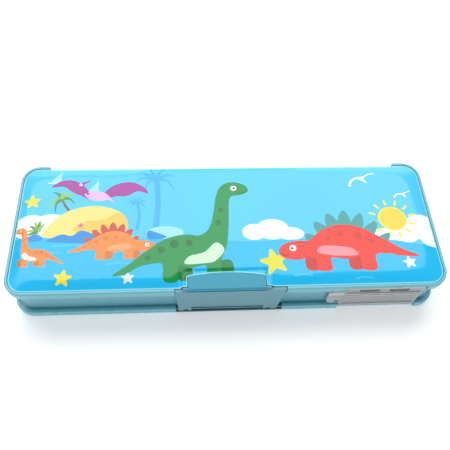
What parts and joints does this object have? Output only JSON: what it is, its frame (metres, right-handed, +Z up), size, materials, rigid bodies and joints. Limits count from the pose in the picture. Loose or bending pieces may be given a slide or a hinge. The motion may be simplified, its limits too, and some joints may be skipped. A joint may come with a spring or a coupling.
{
  "type": "pencil box",
  "caption": "Flat school pencil box: padded cover, hinged lid on a moulded tray, magnetic front latch and a pull-out clear drawer with a pencil sharpener.",
  "frame": {"origin": "middle of the footprint, on the surface that the closed box lies on", "axes": "+X along the long side to the right, +Y from the latch to the hinge, +Z up"},
  "size_m": [0.23, 0.08, 0.0303],
  "materials": {
    "frame_plastic": "moulded polypropylene, satin teal",
    "tray_plastic": "moulded polypropylene, satin teal, slightly darker",
    "latch_plastic": "moulded plastic, satin blue-teal",
    "printed_vinyl": "glossy printed vinyl sheet, soft",
    "plain_vinyl": "plain light blue vinyl sheet with fine grain",
    "foam": "soft white foam sheet",
    "board": "grey board strip",
    "clear_plastic": "clear polystyrene, glossy",
    "sharpener_plastic": "moulded yellow plastic",
    "steel": "plain steel",
    "magnet": "nickel plated magnet",
    "insert_plastic": "moulded plastic insert, light teal"
  },
  "bodies": {
    "tray": {"tray": "tray_plastic", "base_frame": "frame_plastic", "base_cover": "plain_vinyl", "base_foam": "foam", "spine_board": "board", "spine_cover": "plain_vinyl", "latch_keepers": "steel", "tray_screws": "steel", "pencil_rack_left": "insert_plastic", "pencil_rack_right": "insert_plastic", "eraser_divider": "insert_plastic", "base_rail_left": "frame_plastic", "base_latch_strip": "frame_plastic", "base_rail_middle": "frame_plastic", "base_rail_right": "frame_plastic"},
    "lid": {"lid_frame": "frame_plastic", "lid_rail_left": "frame_plastic", "lid_rail_middle": "frame_plastic", "lid_window_lip": "frame_plastic", "lid_rail_right": "frame_plastic", "lid_cover": "printed_vinyl", "lid_foam": "foam", "latch_tab": "latch_plastic", "latch_pin": "steel"},
    "latch": {"latch_plate": "latch_plastic", "latch_magnets": "magnet"},
    "sharpener_drawer": {"sharpener_bin": "clear_plastic", "drawer_front": "clear_plastic", "sharpener_block": "sharpener_plastic", "sharpener_blade": "steel", "blade_screw": "steel"}
  },
  "joints": [
    {"name": "lid_hinge", "type": "hinge", "parent": "tray", "child": "lid", "pos_m": [0, 0.0386, 0.0238], "axis": [-1, 0, 0], "range_deg": [0, 115]},
    {"name": "latch_hinge", "type": "hinge", "parent": "lid", "child": "latch", "pos_m": [0, -0.03885, 0.02885], "axis": [-1, 0, 0], "range_deg": [0, 100]},
    {"name": "drawer_slide", "type": "slide", "parent": "tray", "child": "sharpener_drawer", "axis": [0, -1, 0], "range_m": [0, 0.021]}
  ]
}
